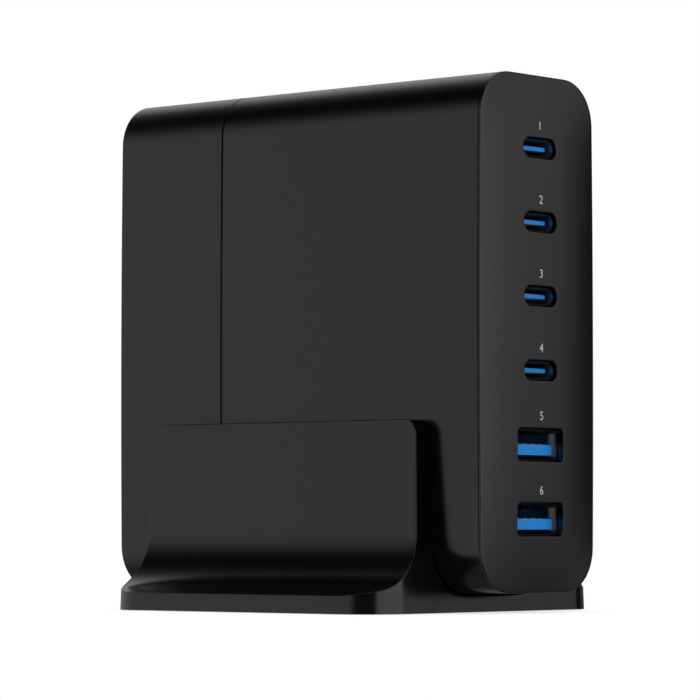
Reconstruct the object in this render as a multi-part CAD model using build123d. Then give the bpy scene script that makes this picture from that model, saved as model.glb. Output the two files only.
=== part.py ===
"""Multi-port USB desktop charger standing in its cradle.

Millimetres, +Z up, the socket row faces -Y, the mains inlet faces +Y.
The origin is on the table, under the middle of the charger.
"""
import os
from math import cos, pi, radians, sin, tan

from build123d import *

# Charger housing
body_width = 32.1
body_height = 90.0
body_length = 85.0
body_corner = 8.0
side_crown = 0.37
shell_wall = 2.0
rear_cover_length = 25.4
rear_wall = 2.4
rear_edge_radius = 0.3
seam_chamfer = 0.22
lip_length = 3.0
lip_wall = 1.0
fit_clearance = 0.15

# Front panel
panel_land = 0.35
panel_bulge = 0.84
panel_back = 1.2
panel_crown_power = 6
panel_margin = 1.0
panel_across_count = 15
panel_up_count = 45
panel_fit = 0.002
c_cutout_edge = 0.15
a_cutout_edge = 0.15

# Sockets, counted from the top
c_port_count = 4
a_port_count = 2
port_pitch = 12.9
a_cutout_width = 12.8
a_cutout_height = 5.8
a_cutout_corner = 0.9

# Receptacles
receptacle_wall = 0.3
insulator_clearance = 0.05
c_recess = 0.75
c_shell_width = 8.94
c_shell_height = 3.26
c_tongue_width = 6.69
c_tongue_thickness = 0.7
c_tongue_edge = 0.22
c_tongue_setback = 1.05
c_block_depth = 3.6
c_contact_count = 8
c_contact_pitch = 0.75
c_contact_width = 0.3
a_recess = 1.6
a_shell_width = 13.1
a_shell_height = 5.7
a_shell_corner = 0.6
a_tongue_width = 11.1
a_tongue_thickness = 1.84
a_tongue_drop = 0.85
a_tongue_setback = 0.55
a_tongue_edge = 0.6
a_block_depth = 3.0
a_contact_count = 4
a_contact_pitch = 2.25
a_contact_width = 1.1
a_spring_width = 3.9
a_spring_spacing = 6.4
a_spring_setback = 3.2
a_spring_length = 4.0
a_spring_tip = 0.8
a_spring_reach = 1.2
contact_thickness = 0.12
contact_setback = 0.7

# Cradle stand
stand_width = 64.3
stand_length = 64.2
stand_corner = 8.4
stand_draft = 2.3
stand_floor = 3.38
stand_edge_height = 3.13
stand_top_slope = 13.5
stand_flare_radius = 9.0
stand_wall = 3.05
stand_wall_height = 33.43
stand_wall_lean = 2.2
stand_wall_corner = 2.6
cradle_clearance = 0.25
trough_lead = 0.9
core_count = 3
core_rib = 2.4
core_width = 6.0
core_depth = 2.6
core_inset = 4.6
core_corner = 1.5
foot_diameter = 9.0
foot_inset = 10.5
foot_thickness = 1.2
foot_proud = 0.1

# Mains inlet
inlet_height = 18.0
inlet_pin_spacing = 8.6
inlet_pin_diameter = 2.36
inlet_lobe_radius = 3.9
inlet_neck_angle = 60.0
inlet_wall = 1.4
inlet_depth = 12.5
inlet_back = 2.4
inlet_flange = 0.9
inlet_pin_setback = 1.6
inlet_pin_edge = 0.6
inlet_tail = 2.6
lead_diameter = 1.6
lead_bend = 2.0
lead_drop = 5.6

# Boards and heat spreaders
board_thickness = 1.6
port_board_depth = 13.05
port_board_thickness = 1.2
port_board_width = 21.0
board_edge_margin = 2.0
board_rear_margin = 3.2
rail_thickness = 1.2
rail_reach = 1.6
spreader_thickness = 1.0
spreader_clearance = 0.15
sheet_thickness = 0.4
solder_room = 1.1

# Parts on the main board: length runs along the board, height up it, tall is out from it
pad_thickness = 0.8
part_gap = 1.6
row_gap = 2.0
fuse_length = 10.0
fuse_height = 3.6
fuse_tall = 7.5
varistor_diameter = 9.0
varistor_thickness = 3.8
varistor_edge = 0.95
x_capacitor_length = 12.0
x_capacitor_height = 18.0
x_capacitor_tall = 12.5
x_capacitor_corner = 0.8
choke_outer = 15.0
choke_inner = 7.0
choke_thickness = 9.0
choke_wire = 1.3
choke_split = 2.4
rectifier_length = 15.0
rectifier_thickness = 3.4
rectifier_tall = 10.0
rectifier_chamfer = 0.5
inductor_length = 20.0
inductor_height = 16.0
transformer_length = 23.0
transformer_height = 22.0
core_leg = 4.5
winding_gap = 0.3
bulk_count = 2
bulk_diameter = 10.5
bulk_groove = 0.35
bulk_groove_width = 1.4
switch_length = 8.0
switch_height = 6.0
output_inductor_side = 9.5
output_inductor_tall = 5.0
output_inductor_corner = 1.2
output_capacitor_diameter = 7.0
output_capacitor_tall = 11.5
output_capacitor_edge = 0.4
output_gap = 1.2
controller_side = 6.0
controller_tall = 0.9

# Places that follow from the sizes above
seat_z = foot_proud + stand_floor
mid_z = seat_z + body_height / 2
top_z = seat_z + body_height
panel_rise = panel_land + panel_bulge
rim_y = -(body_length - panel_rise) / 2
rear_y = rim_y + body_length
seam_y = rear_y - rear_cover_length
panel_inner_y = rim_y + panel_back
front_y = rim_y - panel_rise
c_mouth_y = front_y + c_recess
a_mouth_y = front_y + a_recess
port_board_y = front_y + port_board_depth
c_cutout_width = c_shell_width + 2 * fit_clearance
c_cutout_height = c_shell_height + 2 * fit_clearance
board_front_y = port_board_y + port_board_thickness
board_rear_y = rear_y - rear_wall - board_rear_margin
board_low_z = seat_z + shell_wall + board_edge_margin
board_high_z = top_z - shell_wall - board_edge_margin
lip_outer = shell_wall + fit_clearance
lip_inner = lip_outer + lip_wall
inlet_z = seat_z + inlet_height
inlet_top_z = inlet_z + inlet_lobe_radius + inlet_wall
inlet_front_y = rear_y - inlet_depth
inlet_tail_y = inlet_front_y - inlet_tail
lead_y = inlet_tail_y - lead_bend - lead_diameter
spreader_x = body_width / 2 - lip_inner - side_crown - spreader_clearance
sheet_x = spreader_x - spreader_thickness
solder_x = sheet_x - sheet_thickness - solder_room
board_x = solder_x - board_thickness
part_room = board_x + sheet_x
tall_part = part_room - pad_thickness
spreader_front_y = board_front_y + part_gap
spreader_rear_y = board_rear_y - part_gap
port_count = c_port_count + a_port_count

# Rows of parts on the main board
lower_row_z = board_low_z + rail_reach + part_gap
upper_row_z = board_high_z - rail_reach - part_gap
rear_column_y = board_rear_y - part_gap
inductor_y = lead_y - lead_diameter - part_gap - inductor_length / 2
inductor_z = lower_row_z + inductor_height / 2
transformer_y = rear_column_y - transformer_length / 2
transformer_z = lower_row_z + inductor_height + row_gap + transformer_height / 2
bulk_y = transformer_y - transformer_length / 2 - part_gap - bulk_diameter / 2
x_capacitor_y = rear_column_y - x_capacitor_length / 2
x_capacitor_z = upper_row_z - x_capacitor_height / 2
choke_radius = choke_outer / 2 + choke_wire
choke_y = x_capacitor_y - x_capacitor_length / 2 - part_gap - choke_radius
choke_z = upper_row_z - choke_radius
output_step = (upper_row_z - lower_row_z - output_inductor_side) / (port_count - 1)
inductor_place = (inductor_y, inductor_z)
transformer_place = (transformer_y, transformer_z)


def port_z(index):
    """Height of a socket's middle, with socket 0 at the top."""
    return mid_z + ((port_count - 1) / 2 - index) * port_pitch


def block(low, high):
    """Upright box between two corners."""
    size = [h - l for l, h in zip(low, high)]
    middle = [(h + l) / 2 for l, h in zip(low, high)]
    return Pos(*middle) * Box(*size)


def upright(y):
    """Sketch plane facing the socket side at depth y, with its origin at the charger's middle."""
    return Plane.XZ.offset(-y) * Pos(0, mid_z)


def along(sketch, length):
    """Extrude a sketch from its plane towards the rear."""
    return extrude(sketch, amount=length, dir=(0, 1, 0))


def section(y, inset):
    """The charger's cross-section at depth y, evenly shrunk: crowned long sides and round corners."""
    half_w = body_width / 2 - inset
    half_h = body_height / 2 - inset
    crown = side_crown * (2 * half_h / body_height) ** 2
    corner_x = half_w - crown
    edges = [
        ThreePointArc((-corner_x, -half_h), (-half_w, 0), (-corner_x, half_h)),
        Line((-corner_x, half_h), (corner_x, half_h)),
        ThreePointArc((corner_x, half_h), (half_w, 0), (corner_x, -half_h)),
        Line((corner_x, -half_h), (-corner_x, -half_h)),
    ]
    outline = make_face(edges)
    return upright(y) * fillet(outline.vertices(), body_corner - inset)


def end_edges(solid, end):
    """Edges of the solid's foremost (0) or rearmost (-1) face."""
    return solid.faces().sort_by(Axis.Y)[end].edges()


def stadium(y, z, width, height):
    """A long round-ended slot outline at depth y and height z."""
    return Plane.XZ.offset(-y) * Pos(0, z) * SlotOverall(width, height)


def rounded(y, z, width, height, corner):
    """A rectangle with rounded corners at depth y and height z."""
    return Plane.XZ.offset(-y) * Pos(0, z) * RectangleRounded(width, height, corner)


def board_rails():
    """Ribs in the main shell that hold the main board's upper and lower edges."""
    end = seam_y - lip_length - fit_clearance
    space = along(section(board_front_y, shell_wall / 2), end - board_front_y)
    ribs = []
    for x in (board_x - fit_clearance - rail_thickness, solder_x + fit_clearance):
        for low, high in ((seat_z, board_low_z + rail_reach), (board_high_z - rail_reach, top_z)):
            ribs.append(block((x, board_front_y, low), (x + rail_thickness, end, high)) & space)
    slots = block((board_x - fit_clearance, board_front_y, board_low_z - fit_clearance),
                  (solder_x + fit_clearance, end, board_high_z + fit_clearance))
    return [rib - slots for rib in ribs]


def main_shell():
    """Sleeve between the front panel and the rear cover, with bevelled ends for the seam lines."""
    length = seam_y - rim_y
    body = along(section(rim_y, 0), length)
    body = chamfer(end_edges(body, 0) + end_edges(body, -1), seam_chamfer)
    body -= along(section(rim_y, shell_wall), length)
    for rib in board_rails():
        body += rib
    return body


def lip(y, length):
    """Ring that slips inside the main shell, from depth y towards the rear."""
    return along(section(y, lip_outer) - section(y, lip_inner), length)


def inlet_lobes(y, radius, length):
    """Figure-eight prism round the two pin places, from depth y towards the rear."""
    half = inlet_pin_spacing / 2
    neck = Rectangle(inlet_pin_spacing, 2 * radius * sin(radians(inlet_neck_angle)))
    outline = Pos(-half, 0) * Circle(radius) + Pos(half, 0) * Circle(radius) + neck
    return along(Plane.XZ.offset(-y) * Pos(0, inlet_z) * outline, length)


def rear_cover():
    """Cup that closes the rear end, with a lip into the main shell and the inlet's hole."""
    body = along(section(seam_y, 0), rear_cover_length)
    body = chamfer(end_edges(body, 0), seam_chamfer)
    body = fillet(end_edges(body, -1), rear_edge_radius)
    body -= along(section(seam_y, shell_wall), rear_cover_length - rear_wall)
    root = along(section(seam_y, shell_wall / 2) - section(seam_y, lip_inner), lip_wall)
    body += root + lip(seam_y - lip_length, lip_length)
    return body - inlet_lobes(rear_y - rear_wall, inlet_lobe_radius + inlet_wall + fit_clearance, rear_wall)


def panel_dome():
    """Solid whose front is a pillow: bulge * (1 - (x/a)^2) * (1 - (z/b)^n) ahead of its edge."""
    half_w = body_width / 2
    half_h = body_height / 2
    rows = []
    for i in range(panel_across_count):
        x = (half_w + panel_margin) * (2 * i / (panel_across_count - 1) - 1)
        row = []
        for j in range(panel_up_count):
            z = -(half_h + panel_margin) * cos(pi * j / (panel_up_count - 1))
            rise = (1 - (x / half_w) ** 2) * (1 - (z / half_h) ** panel_crown_power)
            row.append((x, rim_y - panel_land - panel_bulge * rise, mid_z + z))
        rows.append(row)
    front = Face.make_surface_from_array_of_points(rows, tol=panel_fit)
    return extrude(front, amount=2 * (panel_rise + panel_back), dir=(0, 1, 0))


def bevel_cut(outline, z, depth):
    """Cut that bevels an opening at the panel's front: the outline narrows by its own depth."""
    plane = Plane(origin=(0, front_y, 0), x_dir=(1, 0, 0), z_dir=(0, 1, 0))
    return extrude(plane * Pos(0, -z) * outline, amount=depth, taper=45)


def c_cutouts(z):
    """Bevelled opening that a round-ended receptacle reaches into."""
    bevel = 2 * c_cutout_edge
    rim = SlotOverall(c_cutout_width + bevel, c_cutout_height + bevel)
    hole = stadium(front_y, z, c_cutout_width, c_cutout_height)
    return [along(hole, panel_inner_y - front_y), bevel_cut(rim, z, c_cutout_edge)]


def a_cutouts(z):
    """Bevelled opening before a flat receptacle, and the seat for the receptacle's mouth behind it."""
    bevel = 2 * a_cutout_edge
    hole = rounded(front_y, z, a_cutout_width, a_cutout_height, a_cutout_corner)
    rim = RectangleRounded(a_cutout_width + bevel, a_cutout_height + bevel, a_cutout_corner + a_cutout_edge)
    room = 2 * fit_clearance
    seat_y = a_mouth_y - fit_clearance
    seat_corner = a_shell_corner + fit_clearance
    seat = rounded(seat_y, z, a_shell_width + room, a_shell_height + room, seat_corner)
    through = along(hole, panel_inner_y - front_y)
    return [through, bevel_cut(rim, z, a_cutout_edge), along(seat, panel_inner_y - seat_y)]


def front_panel():
    """Pillow-fronted panel with the socket openings and a lip into the main shell."""
    body = along(section(front_y, 0), panel_rise + panel_back) & panel_dome()
    body -= along(section(rim_y, -shell_wall) - section(rim_y, lip_outer), panel_back)
    body += lip(panel_inner_y, lip_length)
    for index in range(port_count):
        cutouts = c_cutouts if index < c_port_count else a_cutouts
        for cut in cutouts(port_z(index)):
            body -= cut
    return body


def c_shell(index):
    """Drawn steel sleeve of a round-ended receptacle."""
    z = port_z(index)
    wall = 2 * receptacle_wall
    outer = stadium(c_mouth_y, z, c_shell_width, c_shell_height)
    inner = stadium(c_mouth_y, z, c_shell_width - wall, c_shell_height - wall)
    return along(outer - inner, port_board_y - c_mouth_y)


def c_tongue(index):
    """Moulded insulator: a block at the rear of the sleeve and the thin tongue in its mouth."""
    z = port_z(index)
    trim = 2 * (receptacle_wall + insulator_clearance)
    block_y = port_board_y - c_block_depth
    tip_y = c_mouth_y + c_tongue_setback
    body = along(stadium(block_y, z, c_shell_width - trim, c_shell_height - trim), c_block_depth)
    blade = rounded(tip_y, z, c_tongue_width, c_tongue_thickness, c_tongue_edge)
    return body + along(blade, block_y - tip_y)


def spring_finger(x, roof, root_y):
    """Strip cut free from the sleeve's roof, bent down towards the mouth and up again at its tip."""
    knee_y = root_y - a_spring_length
    tip_y = knee_y - a_spring_tip
    low = roof - a_spring_reach
    side = [
        (root_y, roof + receptacle_wall),
        (root_y, roof),
        (knee_y, low),
        (tip_y, low + receptacle_wall),
        (tip_y, low + 2 * receptacle_wall),
        (knee_y, low + receptacle_wall),
    ]
    strip = make_face(Polyline(*side, close=True))
    return extrude(Plane.YZ.offset(x - a_spring_width / 2) * strip, amount=a_spring_width)


def a_shell(index):
    """Folded steel sleeve of a flat receptacle, with two spring fingers cut from its roof."""
    z = port_z(index)
    inner_w = a_shell_width - 2 * receptacle_wall
    inner_h = a_shell_height - 2 * receptacle_wall
    outer = rounded(a_mouth_y, z, a_shell_width, a_shell_height, a_shell_corner)
    inner = rounded(a_mouth_y, z, inner_w, inner_h, a_shell_corner - receptacle_wall)
    body = along(outer - inner, port_board_y - a_mouth_y)
    roof = z + inner_h / 2
    root_y = a_mouth_y + a_spring_setback + a_spring_tip + a_spring_length
    slot_half = a_spring_width / 2 + receptacle_wall
    for x in (-a_spring_spacing / 2, a_spring_spacing / 2):
        low = (x - slot_half, a_mouth_y + a_spring_setback, roof - receptacle_wall / 2)
        body -= block(low, (x + slot_half, root_y, roof + 2 * receptacle_wall))
        body += spring_finger(x, roof, root_y)
    return body


def a_tongue(index):
    """Moulded insulator: a block at the rear of the sleeve and the thick tongue below the middle."""
    z = port_z(index)
    trim = 2 * (receptacle_wall + insulator_clearance)
    block_y = port_board_y - a_block_depth
    tip_y = a_mouth_y + a_tongue_setback
    corner = a_shell_corner - receptacle_wall
    base = rounded(block_y, z, a_shell_width - trim, a_shell_height - trim, corner)
    blade = rounded(tip_y, z - a_tongue_drop, a_tongue_width, a_tongue_thickness, a_tongue_edge)
    return along(base, a_block_depth) + along(blade, block_y - tip_y)


def contact_row(tip_y, end_y, z, count, pitch, width):
    """Flat contact strips side by side, each with its underside at the level z."""
    strips = []
    for i in range(count):
        x = (i - (count - 1) / 2) * pitch
        strips.append(block((x - width / 2, tip_y, z), (x + width / 2, end_y, z + contact_thickness)))
    return strips


def c_contacts():
    """Contact strips on both faces of every thin tongue."""
    tip_y = c_mouth_y + c_tongue_setback + contact_setback
    end_y = port_board_y - c_block_depth
    strips = []
    for index in range(c_port_count):
        z = port_z(index)
        for level in (z + c_tongue_thickness / 2, z - c_tongue_thickness / 2 - contact_thickness):
            strips += contact_row(tip_y, end_y, level, c_contact_count, c_contact_pitch, c_contact_width)
    return Compound(strips)


def a_contacts():
    """Contact strips on the upper face of every thick tongue."""
    tip_y = a_mouth_y + a_tongue_setback + contact_setback
    end_y = port_board_y - a_block_depth
    strips = []
    for index in range(c_port_count, port_count):
        level = port_z(index) - a_tongue_drop + a_tongue_thickness / 2
        strips += contact_row(tip_y, end_y, level, a_contact_count, a_contact_pitch, a_contact_width)
    return Compound(strips)


def port_board():
    """Upright board behind the sockets, which carries every receptacle."""
    half = port_board_width / 2
    return block((-half, port_board_y, board_low_z), (half, board_front_y, board_high_z))


def main_board():
    """Board along the right side, notched round the mains inlet."""
    body = block((board_x, board_front_y, board_low_z), (solder_x, board_rear_y, board_high_z))
    notch_z = inlet_top_z + part_gap / 2
    return body - block((board_x, inlet_tail_y, board_low_z), (solder_x, board_rear_y, notch_z))


def pin(x, start, end):
    """Round pin of the inlet between two depths."""
    return along(Plane.XZ.offset(-start) * Pos(x, inlet_z) * Circle(inlet_pin_diameter / 2), end - start)


def ac_inlet():
    """Figure-eight inlet: a moulded socket with a flange behind the rear cover's hole."""
    outer = inlet_lobe_radius + inlet_wall
    body = inlet_lobes(inlet_front_y, outer, inlet_depth)
    body += inlet_lobes(rear_y - rear_wall - inlet_flange, outer + inlet_wall, inlet_flange)
    body -= inlet_lobes(inlet_front_y + inlet_back, inlet_lobe_radius, inlet_depth - inlet_back)
    for side in (-1, 1):
        body -= pin(side * inlet_pin_spacing / 2, inlet_front_y, inlet_front_y + inlet_back)
    return body


def inlet_pin(side):
    """Inlet pin with a rounded tip, from its solder tail to just inside the mouth."""
    body = pin(side * inlet_pin_spacing / 2, inlet_tail_y, rear_y - inlet_pin_setback)
    return fillet(end_edges(body, -1), inlet_pin_edge)


def inlet_lead(side):
    """Insulated lead from a pin's tail across to the main board; the far one passes below."""
    x = side * inlet_pin_spacing / 2
    start = (x, inlet_tail_y, inlet_z)
    points = [start, (x, lead_y, inlet_z)]
    if side < 0:
        points += [(x, lead_y, inlet_z - lead_drop), (board_x, lead_y, inlet_z - lead_drop)]
    else:
        points += [(board_x, lead_y, inlet_z)]
    path = FilletPolyline(*points, radius=lead_bend)
    return sweep(Plane(origin=start, z_dir=(0, -1, 0)) * Circle(lead_diameter / 2), path=path)


def on_board(y, z, length, height, tall):
    """Box of a part that stands on the board's component side, with its middle at y and z."""
    low = (board_x - tall, y - length / 2, z - height / 2)
    return block(low, (board_x, y + length / 2, z + height / 2))


def ring(y, z, outer, inner, lift, tall):
    """Round part or ring on the board's component side, raised off the board by lift."""
    outline = Circle(outer / 2)
    if inner > 0:
        outline -= Circle(inner / 2)
    return extrude(Plane(origin=(board_x - lift - tall, y, z), z_dir=(1, 0, 0)) * outline, amount=tall)


def line_fuse():
    """Moulded fuse below the filter capacitor."""
    z = x_capacitor_z - x_capacitor_height / 2 - part_gap - fuse_height / 2
    return on_board(x_capacitor_y, z, fuse_length, fuse_height, fuse_tall)


def varistor():
    """Dipped disc across the mains lines, on edge in front of the choke."""
    y = choke_y - choke_radius - part_gap
    plane = Plane(origin=(board_x - varistor_diameter / 2, y, choke_z), z_dir=(0, -1, 0))
    disc = extrude(plane * Circle(varistor_diameter / 2), amount=varistor_thickness)
    return fillet(disc.edges(), varistor_edge)


def x_capacitor():
    """Potted box capacitor across the mains lines."""
    body = on_board(x_capacitor_y, x_capacitor_z, x_capacitor_length, x_capacitor_height, x_capacitor_tall)
    return fillet(body.edges().filter_by(Axis.X), x_capacitor_corner)


def choke_core():
    """Ferrite ring of the common-mode choke."""
    return ring(choke_y, choke_z, choke_outer, choke_inner, choke_wire, choke_thickness)


def choke_coils():
    """Two coils that wrap the ring's halves, parted by a gap on each side."""
    tall = choke_thickness + 2 * choke_wire
    coils = ring(choke_y, choke_z, 2 * choke_radius, choke_inner - 2 * choke_wire, 0, tall)
    coils -= choke_core()
    coils -= on_board(choke_y, choke_z, choke_split, 2 * choke_radius, tall)
    return Compound(coils.solids())


def bridge_rectifier():
    """Flat rectifier standing on edge above the transformer's row."""
    z = transformer_z + transformer_height / 2 + part_gap + rectifier_thickness / 2
    body = on_board(choke_y, z, rectifier_length, rectifier_thickness, rectifier_tall)
    return chamfer(body.faces().sort_by(Axis.X)[0].edges().filter_by(Axis.Z), rectifier_chamfer)


def post_diameter(length):
    """Middle post of a core of that length: half of the window between the legs."""
    return (length - 2 * core_leg) / 2


def wound_core(y, z, length, height):
    """Ferrite core with two end plates, side legs and a round middle post."""
    body = on_board(y, z, length, height, tall_part)
    window = on_board(y, z, length - 2 * core_leg, height, tall_part - 2 * core_leg)
    body -= Pos(-core_leg, 0, 0) * window
    return body + ring(y, z, post_diameter(length), 0, core_leg, tall_part - 2 * core_leg)


def wound_coil(y, z, length):
    """Coil on the core's middle post, clear of the legs."""
    outer = length - 2 * core_leg - 2 * winding_gap
    inner = post_diameter(length) + 2 * winding_gap
    return ring(y, z, outer, inner, core_leg + winding_gap, tall_part - 2 * core_leg - 2 * winding_gap)


def bulk_capacitor(index):
    """Standing electrolytic can, with a rolled groove near its foot."""
    z = transformer_z + (index - (bulk_count - 1) / 2) * (bulk_diameter + part_gap / 2)
    body = ring(bulk_y, z, bulk_diameter, 0, 0, tall_part)
    inner = bulk_diameter - 2 * bulk_groove
    return body - ring(bulk_y, z, bulk_diameter, inner, bulk_groove_width, bulk_groove_width)


def thermal_pad(y, z, length, height):
    """Soft pad between a wound part and the left heat spreader."""
    return Pos(-tall_part, 0, 0) * on_board(y, z, length, height, pad_thickness)


def plate(near_x, far_x):
    """Upright plate between two side distances, as large as a heat spreader."""
    return block((near_x, spreader_front_y, lower_row_z), (far_x, spreader_rear_y, upper_row_z))


def heat_spreader_left():
    """Aluminium plate along the left wall, over the pads."""
    return fillet(plate(-spreader_x, -sheet_x).edges().filter_by(Axis.X), part_gap)


def heat_spreader_right():
    """Aluminium plate along the right wall, over the insulating film."""
    return fillet(plate(sheet_x, spreader_x).edges().filter_by(Axis.X), part_gap)


def insulating_film():
    """Film between the right heat spreader and the board's solder side."""
    return plate(sheet_x - sheet_thickness, sheet_x)


def power_switch(index):
    """Flat power switch on the board's solder side, held against the film."""
    y, z = (inductor_place, transformer_place)[index]
    body = on_board(y, z, switch_length, switch_height, solder_room)
    return Pos(board_thickness + solder_room, 0, 0) * body


def output_z(index):
    """Height of an output stage, in an even row between the board's rails."""
    return upper_row_z - output_inductor_side / 2 - index * output_step


def output_inductor(index):
    """Pressed-powder inductor of an output stage, near its socket."""
    y = board_front_y + part_gap + output_inductor_side / 2
    body = on_board(y, output_z(index), output_inductor_side, output_inductor_side, output_inductor_tall)
    return fillet(body.edges().filter_by(Axis.X), output_inductor_corner)


def output_capacitor(index):
    """Polymer capacitor of an output stage, behind its inductor."""
    y = board_front_y + part_gap + output_inductor_side + output_gap + output_capacitor_diameter / 2
    body = ring(y, output_z(index), output_capacitor_diameter, 0, 0, output_capacitor_tall)
    return fillet(body.faces().sort_by(Axis.X)[0].edges(), output_capacitor_edge)


def port_controller():
    """Control chip on the rear of the socket board, between the two kinds of socket."""
    z = (port_z(c_port_count - 1) + port_z(c_port_count)) / 2
    half = controller_side / 2
    return block((-half, board_front_y, z - half), (half, board_front_y + controller_tall, z + half))


def stand_profile():
    """Right half of the cradle's cross-section: floor, sloping base, flare and leaning wall."""
    half = stand_width / 2
    edge_z = foot_proud + stand_edge_height
    wall_top_x = body_width / 2 + cradle_clearance + stand_wall
    lean = tan(radians(stand_wall_lean))
    slope = tan(radians(stand_top_slope))
    knee_x = (wall_top_x + lean * (stand_wall_height - edge_z - slope * half)) / (1 - lean * slope)
    knee_z = edge_z + slope * (half - knee_x)
    outline = Polyline(
        (0, foot_proud),
        (half, foot_proud),
        (half, edge_z),
        (knee_x, knee_z),
        (wall_top_x, stand_wall_height),
        (0, stand_wall_height),
        close=True,
    )
    face = make_face(outline)
    knee = face.vertices().sort_by_distance((knee_x, knee_z))[0]
    return fillet(knee, stand_flare_radius)


def stand_feet():
    """Four rubber pads let into the underside."""
    x = stand_width / 2 - foot_inset
    y = stand_length / 2 - foot_inset
    pad = Pos(0, 0, foot_thickness / 2) * Cylinder(foot_diameter / 2, foot_thickness)
    return [Pos(sx * x, sy * y) * pad for sx in (-1, 1) for sy in (-1, 1)]


def stand_cores():
    """Pockets that keep the flare's section even, in two rows under the walls."""
    zone = stand_length - 2 * (foot_inset + foot_diameter / 2 + core_rib)
    length = (zone - (core_count - 1) * core_rib) / core_count
    pockets = []
    for side in (-1, 1):
        x = side * (body_width / 2 + core_inset)
        for i in range(core_count):
            y = (i - (core_count - 1) / 2) * (length + core_rib)
            outline = RectangleRounded(core_width, length, core_corner)
            pockets.append(extrude(Pos(x, y, foot_proud) * outline, amount=core_depth))
    return pockets


def trough_mouth(end):
    """Bevel that leads the charger in at one end of the trough: -1 at the front, 1 at the rear."""
    y = end * stand_length / 2
    wide = section(y, -cradle_clearance - trough_lead)
    narrow = section(y - end * trough_lead, -cradle_clearance)
    return Pos(0, 0, cradle_clearance) * loft([wide, narrow], ruled=True)


def stand():
    """One moulded cradle: a rounded base whose flared sides rise into two walls round the charger."""
    half_length = stand_length / 2
    right = along(Plane.XZ.offset(half_length) * stand_profile(), stand_length)
    body = right + mirror(right, about=Plane.YZ)
    plan = Plane.XY.offset(foot_proud) * RectangleRounded(stand_width, stand_length, stand_corner)
    body &= extrude(plan, amount=stand_wall_height, taper=stand_draft)
    ends = body.faces().sort_by(Axis.Z)[-1].edges().filter_by(Axis.X)
    body = fillet(ends, stand_wall_corner)
    body -= Pos(0, 0, cradle_clearance) * along(section(-half_length, -cradle_clearance), stand_length)
    body -= trough_mouth(-1)
    body -= trough_mouth(1)
    for pocket in stand_cores():
        body -= pocket
    for foot in stand_feet():
        body -= foot
    return body


def all_nodes():
    """Every piece under its own name."""
    nodes = {
        "main_shell": main_shell(),
        "rear_cover": rear_cover(),
        "front_panel": front_panel(),
        "stand": stand(),
        "stand_feet": Compound(stand_feet()),
        "usb_c_contacts": c_contacts(),
        "usb_a_contacts": a_contacts(),
        "port_board": port_board(),
        "port_controller": port_controller(),
        "main_board": main_board(),
        "ac_inlet": ac_inlet(),
        "ac_pin_line": inlet_pin(1),
        "ac_pin_neutral": inlet_pin(-1),
        "ac_lead_line": inlet_lead(1),
        "ac_lead_neutral": inlet_lead(-1),
        "line_fuse": line_fuse(),
        "varistor": varistor(),
        "x_capacitor": x_capacitor(),
        "choke_core": choke_core(),
        "choke_coils": choke_coils(),
        "bridge_rectifier": bridge_rectifier(),
        "boost_inductor_core": wound_core(*inductor_place, inductor_length, inductor_height),
        "boost_inductor_coil": wound_coil(*inductor_place, inductor_length),
        "boost_inductor_pad": thermal_pad(*inductor_place, inductor_length, inductor_height),
        "transformer_core": wound_core(*transformer_place, transformer_length, transformer_height),
        "transformer_coil": wound_coil(*transformer_place, transformer_length),
        "transformer_pad": thermal_pad(*transformer_place, transformer_length, transformer_height),
        "heat_spreader_left": heat_spreader_left(),
        "heat_spreader_right": heat_spreader_right(),
        "insulating_film": insulating_film(),
        "boost_switch": power_switch(0),
        "half_bridge_switch": power_switch(1),
    }
    for index in range(bulk_count):
        nodes[f"bulk_capacitor_{index + 1}"] = bulk_capacitor(index)
    for index in range(port_count):
        kind = "usb_c" if index < c_port_count else "usb_a"
        number = index + 1 if index < c_port_count else index + 1 - c_port_count
        sleeve, insulator = (c_shell, c_tongue) if kind == "usb_c" else (a_shell, a_tongue)
        nodes[f"{kind}_shell_{number}"] = sleeve(index)
        nodes[f"{kind}_tongue_{number}"] = insulator(index)
        nodes[f"output_inductor_{index + 1}"] = output_inductor(index)
        nodes[f"output_capacitor_{index + 1}"] = output_capacitor(index)
    return nodes


def main():
    """Build every piece and write it as its own STEP file."""
    os.makedirs("parts", exist_ok=True)
    for name, shape in all_nodes().items():
        export_step(shape, f"parts/{name}.step")


main()
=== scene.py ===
"""Looks of the multi-port USB desktop charger in its cradle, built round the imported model.

Metres, +Z up, the sockets face -Y. Laid out as an add-on and run as a script.
"""

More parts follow.
